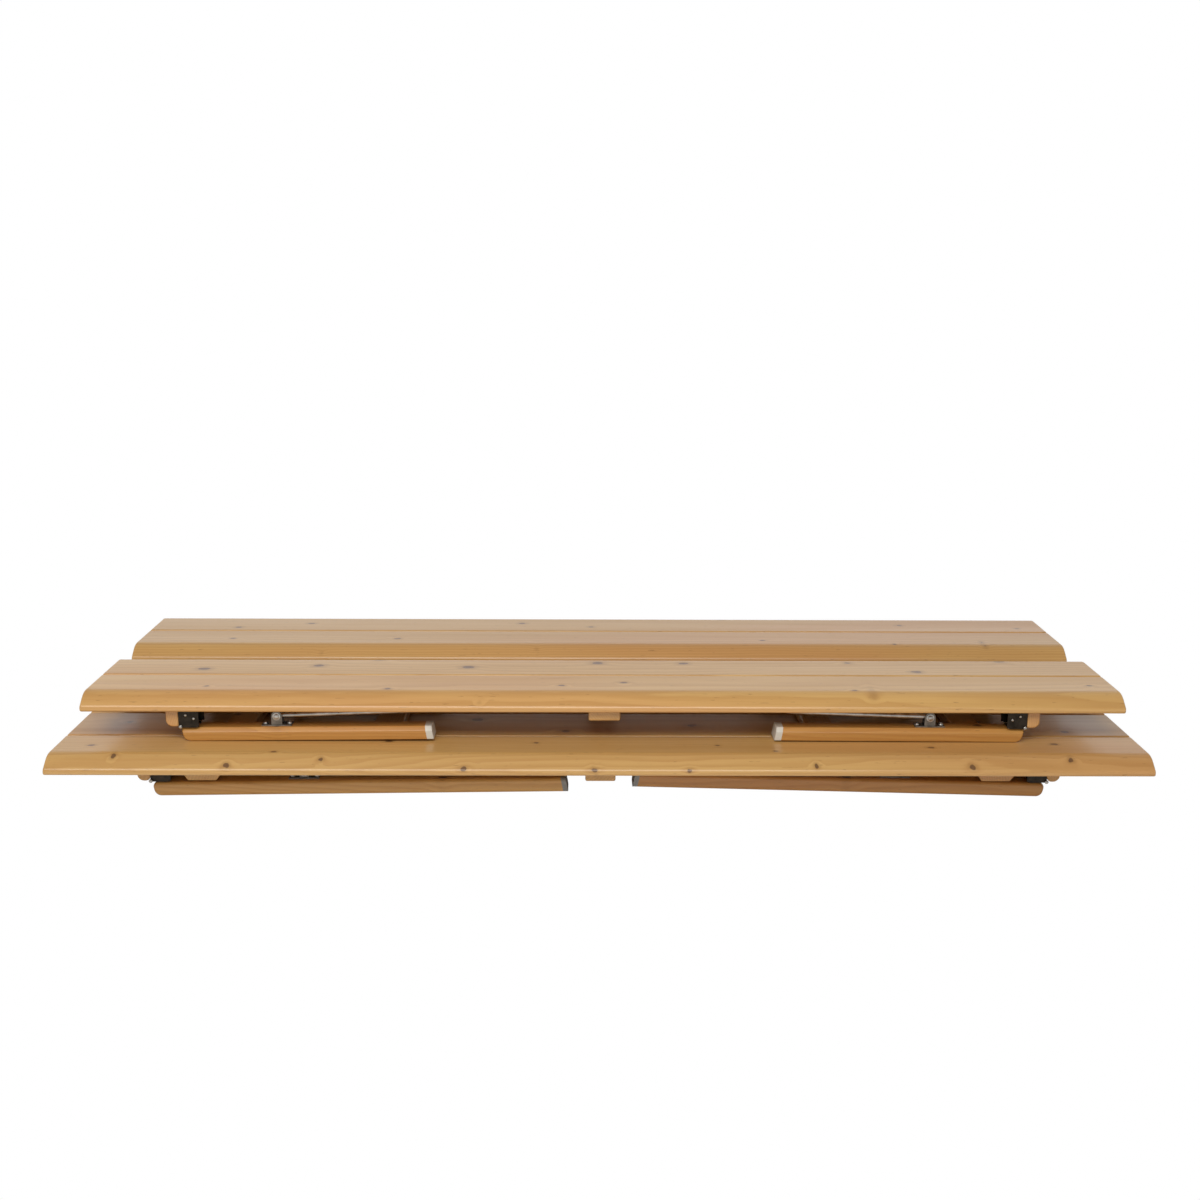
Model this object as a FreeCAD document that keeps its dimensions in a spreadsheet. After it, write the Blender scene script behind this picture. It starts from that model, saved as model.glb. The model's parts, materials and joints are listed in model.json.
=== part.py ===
"""Folding picnic set: a six-board table with two folding benches stacked on it, all legs folded.

Each unit is a plank top on cross battens, with a wooden leg frame hinged at each end.
A steel bail (stay) on every leg frame clips into catches under the top when the leg is open.
Frame: +X along the boards, +Y across them, +Z up, origin on the ground under the middle.
"""
import FreeCAD, Part
import math
import os

import Sketcher

os.makedirs("parts", exist_ok=True)
doc = FreeCAD.newDocument("picnic_set")
dims = doc.addObject("Spreadsheet::Sheet", "dims")
Vector = FreeCAD.Vector

# ---------------------------------------------------------------- driving dimensions, mm and degrees
DRIVING = {
    # table top
    "table_length": 1800, "table_board_width": 118, "table_board_gap": 4,
    "table_thickness": 28, "table_underside": 54.82, "table_x": 0, "table_y": 0,
    "table_under_shift": -1.6,
    "table_hinge_x": 740.8, "table_hinge_drop": 28,
    "table_batten_face": 741.3, "table_batten_width": 21.5, "table_batten_length": 628, "table_batten_arris": 8,
    "table_inner_batten_x": 656.4, "table_inner_batten_width": 63, "table_inner_batten_depth": 27.3,
    "table_centre_batten_width": 50, "table_centre_batten_depth": 27.7,
    "bevel_width": 8, "bevel_height": 11,
    # table leg frames
    "table_frame_half": 314, "table_stile_width": 42, "table_stile_thickness": 24,
    "table_leg_length": 682.1, "table_foot": 8, "table_stile_round": 6, "table_heel": 8,
    "table_upper_rail": 105, "table_lower_rail": 590, "table_rail_width": 60,
    "table_left_tilt": 0.7, "table_right_tilt": 1.4,
    "table_stay_pivot": 250, "table_stay_height": 10, "table_stay_arm": 373,
    "table_stay_lift": 0, "table_stay_eye": 7.5, "table_catch_x": 226.6, "table_catch_y": 150,
    # benches
    "bench_length": 1730, "bench_board_width": 123, "bench_board_gap": 4,
    "bench_thickness": 28, "bench_underside": 138.02, "bench_under_shift": -0.8,
    "bench_front_x": 5.8, "bench_front_y": -165, "bench_back_x": 3, "bench_back_y": 133,
    "bench_hinge_x": 703.5, "bench_hinge_drop": 30,
    "bench_batten_face": 706.5, "bench_batten_width": 21.2, "bench_batten_length": 222, "bench_batten_arris": 3,
    "bench_centre_batten_width": 53, "bench_centre_batten_depth": 18.5,
    # bench leg frames
    "bench_frame_half": 111, "bench_stile_width": 40, "bench_stile_thickness": 22,
    "bench_leg_length": 414.2, "bench_foot": 11, "bench_stile_round": 2, "bench_stile_bevel": 6.5,
    "bench_upper_rail": 90, "bench_lower_rail": 340, "bench_rail_width": 50,
    "bench_left_tilt": 0.5, "bench_right_tilt": 0.3,
    "bench_stay_pivot": 157, "bench_stay_height": 16, "bench_stay_arm": 246,
    "bench_stay_lift": 1.8, "bench_stay_eye": 9, "bench_catch_x": 157.5, "bench_catch_y": 30,
    # shared timber details
    "nose_width": 25, "nose_height": 19, "nose_crown": 36, "nose_turn": 8, "seam_radius": 3, "batten_round": 11,
    "rail_thickness": 18, "rail_inset": 3, "rail_round": 3, "splay": 10, "toe_round": 12,
    # shared steel details
    "face_drop": 3, "leg_start": 1, "pin_radius": 1.5, "pin_fit": 0.05, "knuckle_radius": 2.9,
    "ear_radius": 2.6, "skirt_drop": 1.5, "leaf_length": 26, "leaf_width": 27, "sheet_steel": 2,
    "bracket_length": 33, "bracket_inner": 34, "cheek": 2.5, "pin_length": 42,
    "rod_radius": 4.5, "rod_bend": 18, "eye_width": 10, "stay_pin": 3, "ear_gap": 0.5,
    "base_length": 50, "base_width": 20, "screw_pitch": 40,
    "catch_depth": 11, "catch_fit": 0.4, "catch_wall": 2.5, "catch_width": 25, "catch_plate": 34,
    "screw_radius": 2, "screw_head": 4.2, "head_height": 2.2, "screw_length": 14,
    "batten_screw": 40, "head_proud": 0.8,
}
for row, (alias, value) in enumerate(DRIVING.items(), start=1):
    dims.set(f"A{row}", alias)
    dims.set(f"B{row}", str(value))
    dims.setAlias(f"B{row}", alias)
doc.recompute()

TABLE_BOARDS = 6
BENCH_BOARDS = 2
BENCHES = ("bench_front", "bench_back")
SIDES = ("left", "right")


def cell(name):
    """Expression for one driving dimension."""
    return f"dims.{name}"


def at(x="0", y="0", z="0", turn=None):
    """Expression for a placement; turn is a rotation expression."""
    return f"placement(vector({x}; {y}; {z}); {turn or 'rotationz(0)'})"


def place(piece, *steps):
    """Bind a piece's Placement to a chain of placement expressions, outermost first."""
    piece.setExpression("Placement", " * ".join(steps))
    return piece


# ---------------------------------------------------------------- timber
def origin_plane(body, role):
    return next(plane for plane in body.Origin.OriginFeatures if plane.Role == role)


def tie(sketch, constraint, expression):
    """Add a dimension to a sketch and bind it to an expression."""
    index = sketch.addConstraint(constraint)
    name = f"size_{index}"
    sketch.renameConstraint(index, name)
    sketch.setExpression(f"Constraints.{name}", expression)


def prism(name, plane, corners, length):
    """Bar on a polygon section; each corner is a pair of expressions."""
    body = doc.addObject("PartDesign::Body", name)
    sketch = body.newObject("Sketcher::SketchObject", name + "_section")
    sketch.AttachmentSupport = [(origin_plane(body, plane), "")]
    sketch.MapMode = "FlatFace"
    start = [[float(sketch.evalExpression(across)), float(sketch.evalExpression(up))] for across, up in corners]
    points = [Vector(across, up, 0) for across, up in start]
    for first, second in zip(points, points[1:] + points[:1]):
        sketch.addGeometry(Part.LineSegment(first, second), False)
    for line in range(len(points)):
        sketch.addConstraint(Sketcher.Constraint("Coincident", line, 2, (line + 1) % len(points), 1))
    for line, (across, up) in enumerate(corners):
        tie(sketch, Sketcher.Constraint("DistanceX", -1, 1, line, 1, start[line][0]), across)
        tie(sketch, Sketcher.Constraint("DistanceY", -1, 1, line, 1, start[line][1]), up)
    doc.recompute()
    return body, pad_out(body, sketch, name, length)


def pad_out(body, sketch, name, length):
    """Pad a section by the same amount to both sides of its plane."""
    pad = body.newObject("PartDesign::Pad", name + "_pad")
    pad.Profile = sketch
    pad.SideType = "Symmetric"
    pad.setExpression("Length", length)
    sketch.Visibility = False
    doc.recompute()
    return pad


def dress(kind, body, base, name, size, wanted):
    """Fillet or chamfer the straight edges along x or y that pass a test on their middle point."""
    edges = []
    for number, edge in enumerate(base.Shape.Edges, start=1):
        straight = edge.Curve.TypeId == "Part::GeomLine"
        if straight and wanted(edge.CenterOfMass, edge.tangentAt(edge.FirstParameter)):
            edges.append(f"Edge{number}")
    feature = body.newObject(f"PartDesign::{kind}", name)
    feature.Base = (base, edges)
    feature.setExpression("Radius" if kind == "Fillet" else "Size", size)
    doc.recompute()
    return feature


def round_ends(body, base, name, axis):
    """Soften the edges of the two end faces of a bar."""
    ends = [f"Face{number}" for number, face in enumerate(base.Shape.Faces, start=1)
            if face.Surface.TypeId == "Part::GeomPlane" and abs(abs(face.normalAt(0, 0)[axis]) - 1) < 1e-6]
    fillet = body.newObject("PartDesign::Fillet", name + "_ends")
    fillet.Base = (base, ends)
    fillet.setExpression("Radius", cell("seam_radius"))


def moulding(name, plane, width, depth, radii, length, end_round=None):
    """Bar of rounded-rectangle section: centred, top face at 0, hanging down by depth.

    radii are the corner radii in the order top right, bottom right, bottom left, top left.
    """
    body = doc.addObject("PartDesign::Body", name)
    sketch = body.newObject("Sketcher::SketchObject", name + "_section")
    sketch.AttachmentSupport = [(origin_plane(body, plane), "")]
    sketch.MapMode = "FlatFace"
    half, deep, r = 50.0, 30.0, 3.0
    corners = [(half - r, -r, 0.0), (half - r, r - deep, 270.0),
               (r - half, r - deep, 180.0), (r - half, -r, 90.0)]
    for x, y, start in corners:
        circle = Part.Circle(Vector(x, y, 0), Vector(0, 0, 1), r)
        sketch.addGeometry(Part.ArcOfCircle(circle, math.radians(start), math.radians(start + 90)), False)
    sketch.addGeometry(Part.LineSegment(Vector(half, -r, 0), Vector(half, r - deep, 0)), False)
    sketch.addGeometry(Part.LineSegment(Vector(half - r, -deep, 0), Vector(r - half, -deep, 0)), False)
    sketch.addGeometry(Part.LineSegment(Vector(-half, r - deep, 0), Vector(-half, -r, 0)), False)
    sketch.addGeometry(Part.LineSegment(Vector(r - half, 0, 0), Vector(half - r, 0, 0)), False)
    right, bottom, left, top = 4, 5, 6, 7
    joins = [(0, 1, right, 1), (right, 2, 1, 2), (1, 1, bottom, 1), (bottom, 2, 2, 2),
             (2, 1, left, 1), (left, 2, 3, 2), (3, 1, top, 1), (top, 2, 0, 2)]
    for first, first_end, second, second_end in joins:
        sketch.addConstraint(Sketcher.Constraint("Tangent", first, first_end, second, second_end))
    for line in (right, left):
        sketch.addConstraint(Sketcher.Constraint("Vertical", line))
    for line in (top, bottom):
        sketch.addConstraint(Sketcher.Constraint("Horizontal", line))
    sketch.addConstraint(Sketcher.Constraint("PointOnObject", top, 1, -1))
    tie(sketch, Sketcher.Constraint("DistanceX", -1, 1, right, 1, half), f"{width} / 2")
    tie(sketch, Sketcher.Constraint("DistanceX", left, 1, right, 1, 2 * half), width)
    tie(sketch, Sketcher.Constraint("DistanceY", bottom, 1, top, 1, deep), depth)
    for arc, radius in enumerate(radii):
        tie(sketch, Sketcher.Constraint("Radius", arc, r), radius)
    doc.recompute()
    pad = pad_out(body, sketch, name, length)
    if end_round:
        round_ends(body, pad, name, 0 if plane == "YZ_Plane" else 1)
    return body


def slanted(name, kind, start, finish, rounded=False):
    """Leg timber in the leg frame: top face at -face_drop, both ends cut at the splay angle.

    start and finish are where the top face begins and ends; rounded softens the hinge end.
    """
    thickness = cell(f"{kind}_stile_thickness")
    body = doc.addObject("PartDesign::Body", name)
    sketch = body.newObject("Sketcher::SketchObject", name + "_outline")
    sketch.AttachmentSupport = [(origin_plane(body, "XZ_Plane"), "")]
    sketch.MapMode = "FlatFace"
    points = [Vector(0, -3, 0), Vector(100, -3, 0), Vector(104, -25, 0), Vector(4, -25, 0)]
    for first, second in zip(points, points[1:] + points[:1]):
        sketch.addGeometry(Part.LineSegment(first, second), False)
    top, far_end, bottom, hinge_end = range(4)
    for line in range(4):
        sketch.addConstraint(Sketcher.Constraint("Coincident", line, 2, (line + 1) % 4, 1))
    sketch.addConstraint(Sketcher.Constraint("Horizontal", top))
    sketch.addConstraint(Sketcher.Constraint("Horizontal", bottom))
    sketch.addConstraint(Sketcher.Constraint("Parallel", far_end, hinge_end))
    tie(sketch, Sketcher.Constraint("DistanceX", -1, 1, top, 1, 0.5), start)
    tie(sketch, Sketcher.Constraint("DistanceX", -1, 1, top, 2, 100), finish)
    tie(sketch, Sketcher.Constraint("DistanceY", top, 1, -1, 1, 3), cell("face_drop"))
    tie(sketch, Sketcher.Constraint("DistanceY", bottom, 1, top, 1, 22), thickness)
    tie(sketch, Sketcher.Constraint("DistanceX", top, 1, bottom, 2, 4), f"{thickness} * tan({cell('splay')})")
    doc.recompute()
    base = pad_out(body, sketch, name, cell(f"{kind}_stile_width"))
    lowest = min(edge.CenterOfMass.z for edge in base.Shape.Edges)

    def first_corner(middle, along, height):
        return abs(along.y) > 0.9 and abs(middle.z - height) < 0.01 and middle.x < 30

    def lengthwise(middle, along):
        return abs(along.x) > 0.999999

    if rounded:
        base = dress("Fillet", body, base, name + "_toe", cell("toe_round"),
                     lambda middle, along: first_corner(middle, along, lowest))
    if rounded and kind == "table":
        base = dress("Fillet", body, base, name + "_heel", cell("table_heel"),
                     lambda middle, along: first_corner(middle, along, -DRIVING["face_drop"]))
    if kind == "bench":
        base = dress("Chamfer", body, base, name + "_bevels", cell("bench_stile_bevel"),
                     lambda middle, along: lengthwise(middle, along) and middle.z > -DRIVING["face_drop"] - 0.01)
    dress("Fillet", body, base, name + "_arrises", cell(f"{kind}_stile_round"), lengthwise)
    return body


# ---------------------------------------------------------------- steel
def box(name, x_low, x_high, y_low, y_high, z_low, z_high):
    """Block between two corners given as expressions."""
    block = doc.addObject("Part::Box", name)
    block.setExpression("Length", f"({x_high}) - ({x_low})")
    block.setExpression("Width", f"({y_high}) - ({y_low})")
    block.setExpression("Height", f"({z_high}) - ({z_low})")
    place(block, at(x_low, y_low, z_low))
    return block


def rod(name, radius, length, x="0", y="0", z="0", axis="z"):
    """Round bar centred on a point, along one axis."""
    turns = {"x": "rotationy(90)", "y": "rotationx(90)", "z": "rotationz(0)"}
    bar = doc.addObject("Part::Cylinder", name)
    bar.setExpression("Radius", radius)
    bar.setExpression("Height", length)
    place(bar, at(x, y, z, turns[axis]), at(z=f"-({length}) / 2"))
    return bar


def fuse(name, pieces):
    joined = doc.addObject("Part::MultiFuse", name)
    joined.Shapes = pieces
    joined.Refine = True
    return joined


def cut(name, base, tool):
    result = doc.addObject("Part::Cut", name)
    result.Base = base
    result.Tool = tool
    result.Refine = True
    return result


def group(name, pieces):
    """Several separate solids that share one node."""
    gathered = doc.addObject("Part::Compound", name)
    gathered.Links = pieces
    return gathered


def pan_screw(name, x, y, z, direction="1", length=cell("screw_length")):
    """Domed screw whose head sits on a surface at z; direction 1 has its head upward."""
    head = doc.addObject("Part::Cone", name + "_head")
    head.setExpression("Radius1", cell("screw_head"))
    head.setExpression("Radius2", f"{cell('screw_head')} * 0.7")
    head.setExpression("Height", cell("head_height"))
    shank = doc.addObject("Part::Cylinder", name + "_shank")
    shank.setExpression("Radius", cell("screw_radius"))
    shank.setExpression("Height", length)
    place(shank, at(z=f"-({length})"))
    screw = fuse(name, [head, shank])
    return place(screw, at(x, y, z, "rotationx(0)" if direction == "1" else "rotationx(180)"))


def hinge_bracket(name, kind, x, y, mirror):
    """Folded-steel bracket in the corner of board and batten, with its pin, about the hinge axis."""
    drop = cell(f"{kind}_hinge_drop")
    back = f"{cell(kind + '_batten_face')} - {cell(kind + '_hinge_x')}"
    front = f"{cell('bracket_length')} - ({back})"
    inner = f"{cell('bracket_inner')} / 2"
    outer = f"{inner} + {cell('cheek')}"
    steel = cell("sheet_steel")
    pieces = [
        box(name + "_top", f"-({back})", front, f"-({outer})", outer, f"{drop} - {steel}", drop),
        box(name + "_back", f"-({back})", f"-({back}) + {steel}", f"-({outer})", outer, "5", drop),
    ]
    for tag, low, high in (("a", f"-({outer})", f"-({inner})"), ("b", inner, outer)):
        middle = f"({low} + {high}) / 2"
        pieces.append(box(f"{name}_cheek_{tag}", f"-({back})", front, low, high, "0.2", drop))
        pieces.append(box(f"{name}_skirt_{tag}", "0", f"{front} - 4", low, high, f"-{cell('skirt_drop')}", "1"))
        pieces.append(rod(f"{name}_ear_{tag}", cell("ear_radius"), cell("cheek"), "0", middle, "0", "y"))
    hole = rod(name + "_hole", cell("pin_radius"), f"{cell('pin_length')} * 2", axis="y")
    plate = cut(name + "_plate", fuse(name + "_folded", pieces), hole)
    pin = rod(name + "_pin", cell("pin_radius"), cell("pin_length"), axis="y")
    turn = "rotationz(180)" if mirror else "rotationz(0)"
    for piece in (plate, pin):
        steps = [at(x, y, f"-{drop}", turn)]
        if piece is pin:
            steps.append(at(y=f"{cell('pin_length')} / 2", turn="rotationx(90)"))
        place(piece, *steps)
    return [plate, pin]


def hinge_leaf(name, y):
    """Leaf on the leg's inner face, rolled into a knuckle round the hinge pin."""
    half = f"{cell('leaf_width')} / 2"
    top = f"{cell('sheet_steel')} - {cell('face_drop')}"
    leaf = box(name + "_leaf", "0", cell("leaf_length"), f"-({half})", half, f"-{cell('face_drop')}", top)
    knuckle = rod(name + "_knuckle", cell("knuckle_radius"), cell("leaf_width"), axis="y")
    bore = rod(name + "_bore", f"{cell('pin_radius')} + {cell('pin_fit')}", f"{cell('leaf_width')} * 2", axis="y")
    holes = [rod(f"{name}_hole_{side}", cell("screw_radius"), "20", "18", f"{sign}8")
             for side, sign in (("a", ""), ("b", "-"))]
    plate = cut(name, fuse(name + "_blank", [leaf, knuckle]), fuse(name + "_holes", [bore] + holes))
    return place(plate, at(y=y))


def stay_bracket(name, kind, y):
    """Screwed base with two ears and the pin that carries the stay's eye."""
    reach = cell(f"{kind}_stay_pivot")
    face = f"-{cell('face_drop')}"
    height = f"{cell(kind + '_stay_height')} + {face}"
    eye = cell(f"{kind}_stay_eye")
    inner = f"{cell('eye_width')} / 2 + {cell('ear_gap')}"
    outer = f"{inner} + {cell('cheek')}"
    half_base = f"{cell('base_length')} / 2"
    half_width = f"{cell('base_width')} / 2"
    pieces = [box(name + "_base", f"-({half_base})", half_base, f"-({half_width})", half_width,
                  face, f"{face} + {cell('sheet_steel')}")]
    for tag, low, high in (("a", f"-({outer})", f"-({inner})"), ("b", inner, outer)):
        middle = f"(({low}) + ({high})) / 2"
        pieces.append(box(f"{name}_cheek_{tag}", f"-{eye}", eye, low, high, face, height))
        pieces.append(rod(f"{name}_ear_{tag}", eye, cell("cheek"), "0", middle, height, "y"))
    pieces.append(rod(name + "_pin", cell("stay_pin"), f"2 * ({outer}) + 3", "0", "0", height, "y"))
    holes = [rod(f"{name}_hole_{tag}", cell("screw_radius"), "30", f"{sign}{cell('screw_pitch')} / 2")
             for tag, sign in (("a", ""), ("b", "-"))]
    plate = cut(name, fuse(name + "_blank", pieces), fuse(name + "_holes", holes))
    return place(plate, at(reach, y))


def leg_hardware(name, kind):
    """Hinge leaves, stay brackets and their screws on both stiles of one leg frame."""
    steel_top = f"{cell('sheet_steel')} - {cell('face_drop')}"
    pieces = []
    for tag, sign in (("a", ""), ("b", "-")):
        y = f"{sign}({cell(kind + '_frame_half')} - {cell(kind + '_stile_width')} / 2)"
        pieces.append(hinge_leaf(f"{name}_leaf_{tag}", y))
        pieces.append(stay_bracket(f"{name}_bracket_{tag}", kind, y))
        for end, shift in (("near", "-"), ("far", "+")):
            x = f"{cell(kind + '_stay_pivot')} {shift} {cell('screw_pitch')} / 2"
            pieces.append(pan_screw(f"{name}_screw_{tag}_{end}", x, y, steel_top))
            pieces.append(pan_screw(f"{name}_leaf_screw_{tag}_{end}", "18", f"{y} {shift} 8", steel_top))
    return group(name, pieces)


def bail(name, arm, spread, start):
    """Bent round bar: two arms and a cross bar with large bends, swept along its centre line."""
    path = doc.addObject("Sketcher::SketchObject", name + "_line")
    long, wide, bend = 118.0, 50.0, 18.0
    straight, inside = long - bend, wide - bend
    quarter = math.pi / 2
    path.addGeometry(Part.LineSegment(Vector(5, wide, 0), Vector(straight, wide, 0)), False)
    upper = Part.Circle(Vector(straight, inside, 0), Vector(0, 0, 1), bend)
    path.addGeometry(Part.ArcOfCircle(upper, 0, quarter), False)
    path.addGeometry(Part.LineSegment(Vector(long, inside, 0), Vector(long, -inside, 0)), False)
    lower = Part.Circle(Vector(straight, -inside, 0), Vector(0, 0, 1), bend)
    path.addGeometry(Part.ArcOfCircle(lower, -quarter, 0), False)
    path.addGeometry(Part.LineSegment(Vector(straight, -wide, 0), Vector(5, -wide, 0)), False)
    for first, first_end, second, second_end in ((0, 2, 1, 2), (1, 1, 2, 1), (2, 2, 3, 2), (3, 1, 4, 1)):
        path.addConstraint(Sketcher.Constraint("Tangent", first, first_end, second, second_end))
    for line, direction in ((0, "Horizontal"), (2, "Vertical"), (4, "Horizontal")):
        path.addConstraint(Sketcher.Constraint(direction, line))
    for arc in (1, 3):
        tie(path, Sketcher.Constraint("Radius", arc, bend), cell("rod_bend"))
    tie(path, Sketcher.Constraint("DistanceX", -1, 1, 0, 1, 5), start)
    tie(path, Sketcher.Constraint("DistanceX", -1, 1, 4, 2, 5), start)
    tie(path, Sketcher.Constraint("DistanceX", -1, 1, 2, 1, long), arm)
    tie(path, Sketcher.Constraint("DistanceY", -1, 1, 0, 1, wide), spread)
    tie(path, Sketcher.Constraint("DistanceY", 4, 2, -1, 1, wide), spread)
    section = doc.addObject("Part::Circle", name + "_section")
    section.setExpression("Radius", cell("rod_radius"))
    place(section, at(start, spread, "0", "rotationy(90)"))
    pipe = doc.addObject("Part::Sweep", name)
    pipe.Sections = [section]
    pipe.Spine = (path, [])
    pipe.Solid = True
    return pipe


def stay(name, kind):
    """U-shaped bail about its pivot, with a flat eye on the end of each arm."""
    eye = cell(f"{kind}_stay_eye")
    spread = f"({cell(kind + '_frame_half')} - {cell(kind + '_stile_width')} / 2)"
    pieces = [bail(name + "_bail", cell(f"{kind}_stay_arm"), spread, f"{eye} / 2")]
    for tag, sign in (("a", ""), ("b", "-")):
        pieces.append(rod(f"{name}_eye_{tag}", eye, cell("eye_width"), "0", f"{sign}{spread}", "0", "y"))
    bores = rod(name + "_bores", f"{cell('stay_pin')} + {cell('pin_fit')}", f"{spread} * 4", axis="y")
    return cut(name, fuse(name + "_bent", pieces), bores)


def catch(name, x, y, mirror):
    """Hook under the top that holds the bail's cross bar when the leg is open."""
    inner = f"({cell('rod_radius')} + {cell('catch_fit')})"
    outer = f"({inner} + {cell('catch_wall')})"
    half = f"{cell('catch_width')} / 2"
    depth = cell("catch_depth")
    ring = rod(name + "_ring", outer, cell("catch_width"), "0", "0", f"-{depth}", "y")
    hollow = rod(name + "_hollow", inner, f"{cell('catch_width')} * 2", "0", "0", f"-{depth}", "y")
    quarter = box(name + "_quarter", f"-{outer}", "0", f"-({half})", half, f"-{depth} - {outer}", f"-{depth}")
    lip = doc.addObject("Part::MultiCommon", name + "_lip")
    lip.Shapes = [ring, quarter]
    web = box(name + "_web", f"-{outer}", f"-{inner}", f"-({half})", half, f"-{depth}", "0")
    plate = box(name + "_plate", f"-{outer} - {cell('catch_plate')} + 5", f"-{inner}", f"-({half})", half,
                f"-{cell('sheet_steel')}", "0")
    holes = [rod(f"{name}_hole_{tag}", cell("screw_radius"), "20", f"-{outer} - 18", f"{sign}7")
             for tag, sign in (("a", ""), ("b", "-"))]
    hook = cut(name + "_hook", cut(name + "_open", fuse(name + "_blank", [lip, web, plate]), hollow),
               fuse(name + "_holes", holes))
    screws = [pan_screw(f"{name}_screw_{tag}", f"-{outer} - 18", f"{sign}7", f"-{cell('sheet_steel')}", "-1")
              for tag, sign in (("a", ""), ("b", "-"))]
    turn = "rotationz(180)" if mirror else "rotationz(0)"
    whole = group(name, [hook] + screws)
    return place(whole, at(x, y, turn=turn))


# ---------------------------------------------------------------- tops, legs and the stack
nodes = []


def keep(piece, label, *steps):
    """Give a finished sub-part its label and its place in the stack."""
    piece.Label = label
    placed = place(piece, *steps)
    nodes.append(placed)


def unit_place(unit, kind):
    """Origin of one unit: the middle of the underside of its boards."""
    return at(cell(f"{unit}_x"), cell(f"{unit}_y"), cell(f"{kind}_underside"))


def under_place(unit, kind):
    """Origin of the battens, fittings and legs, which sit a little off the middle of the boards."""
    return " * ".join([unit_place(unit, kind), at(cell(f"{kind}_under_shift"))])


def leg_place(unit, kind, side):
    """Leg frame: origin on the hinge axis, +X towards the foot, folded with its slight rest tilt."""
    sign = "-" if side == "left" else ""
    turn = f"rotationy(-{cell(f'{kind}_{side}_tilt')})"
    if side == "right":
        turn = f"rotationz(180) * {turn}"
    hinge = at(f"{sign}{cell(kind + '_hinge_x')}", "0", f"-{cell(kind + '_hinge_drop')}", turn)
    return [under_place(unit, kind), hinge]


def nosed_plank(name, kind, outward):
    """Outermost plank: its outer edge (outward is -1 or 1 along y) is a broad soft bevel."""
    width, thickness = cell(f"{kind}_board_width"), cell(f"{kind}_thickness")
    edge = f"{outward} * {width} / 2"
    corners = [(f"-({edge})", "0"), (f"{outward} * ({width} / 2 - {cell('nose_width')})", "0"),
               (edge, f"-{cell('nose_height')}"), (edge, f"-{thickness}"), (f"-({edge})", f"-{thickness}")]
    body, pad = prism(name, "YZ_Plane", corners, cell(f"{kind}_length"))
    outer, under = DRIVING[f"{kind}_board_width"] / 2 - 0.01, 0.01 - DRIVING[f"{kind}_thickness"]

    def crown(middle, along):
        return middle.z > -0.01 and outward * middle.y > 0 and abs(along.x) > 0.9

    def turn(middle, along):
        return outward * middle.y > outer and under < middle.z < -0.01 and abs(along.x) > 0.9

    def arris(middle, along):
        return abs(middle.y) > outer and not under < middle.z < -0.01 and abs(along.x) > 0.9

    crowned = dress("Fillet", body, pad, name + "_crown", cell("nose_crown"), crown)
    turned = dress("Fillet", body, crowned, name + "_turn", cell("nose_turn"), turn)
    softened = dress("Fillet", body, turned, name + "_arrises", cell("seam_radius"), arris)
    round_ends(body, softened, name, 0)
    return body


def boards(unit, kind, count, labels):
    """Planks side by side: only the outermost long edges carry the broad nose."""
    seam = cell("seam_radius")
    width, thickness, length = (cell(f"{kind}_{what}") for what in ("board_width", "thickness", "length"))
    pitch = f"({width} + {cell(kind + '_board_gap')})"
    for index, label in enumerate(labels):
        if 0 < index < count - 1:
            plank = moulding(label, "YZ_Plane", width, thickness, [seam] * 4, length, seam)
        else:
            plank = nosed_plank(label, kind, -1 if index == 0 else 1)
        across = at(y=f"{pitch} * ({index} - ({count} - 1) / 2)", z=cell(f"{kind}_thickness"))
        keep(plank, label, unit_place(unit, kind), across)


def batten(name, kind, width, depth, right_round, left_round):
    """Cross batten under the boards, with its own radius on each lower edge."""
    radii = ["1", right_round, left_round, "1"]
    return moulding(name, "XZ_Plane", width, depth, radii, cell(f"{kind}_batten_length"), cell("seam_radius"))


def centre_batten(name, kind):
    arris = cell("seam_radius")
    return batten(name, kind, cell(f"{kind}_centre_batten_width"), cell(f"{kind}_centre_batten_depth"), arris, arris)


def bevelled_batten(name):
    """Wide batten near each end of the table, with both lower edges planed to a bevel."""
    half = f"{cell('table_inner_batten_width')} / 2"
    depth = cell("table_inner_batten_depth")
    foot_half = f"({half} - {cell('bevel_width')})"
    side_foot = f"{cell('bevel_height')} - {depth}"
    corners = [(f"-({half})", "0"), (half, "0"), (half, side_foot), (foot_half, f"-{depth}"),
               (f"-{foot_half}", f"-{depth}"), (f"-({half})", side_foot)]
    body, pad = prism(name, "XZ_Plane", corners, cell("table_batten_length"))
    round_ends(body, pad, name, 1)
    return body


def end_batten(name, kind, side):
    """Batten beside the hinges: its outer lower edge has the large round."""
    sign = -1 if side == "left" else 1
    outer, inner = cell("batten_round"), cell(f"{kind}_batten_arris")
    rounds = (inner, outer) if side == "left" else (outer, inner)
    piece = batten(name, kind, cell(f"{kind}_batten_width"), cell(f"{kind}_hinge_drop"), *rounds)
    centre = f"{sign} * ({cell(kind + '_batten_face')} + {cell(kind + '_batten_width')} / 2)"
    return piece, at(centre)


def top_screws(label, unit, kind, stations):
    """Screws up through the battens into the boards, at (x, depth, y list) stations."""
    pieces = []
    for x, depth, rows in stations:
        for y in rows:
            name = f"{label}_{len(pieces) + 1}"
            screw = pan_screw(name, x, f"{y}", f"-({depth}) + {cell('head_height')} - {cell('head_proud')}",
                              "-1", cell("batten_screw"))
            pieces.append(screw)
    keep(group(label, pieces), label, under_place(unit, kind))


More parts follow.
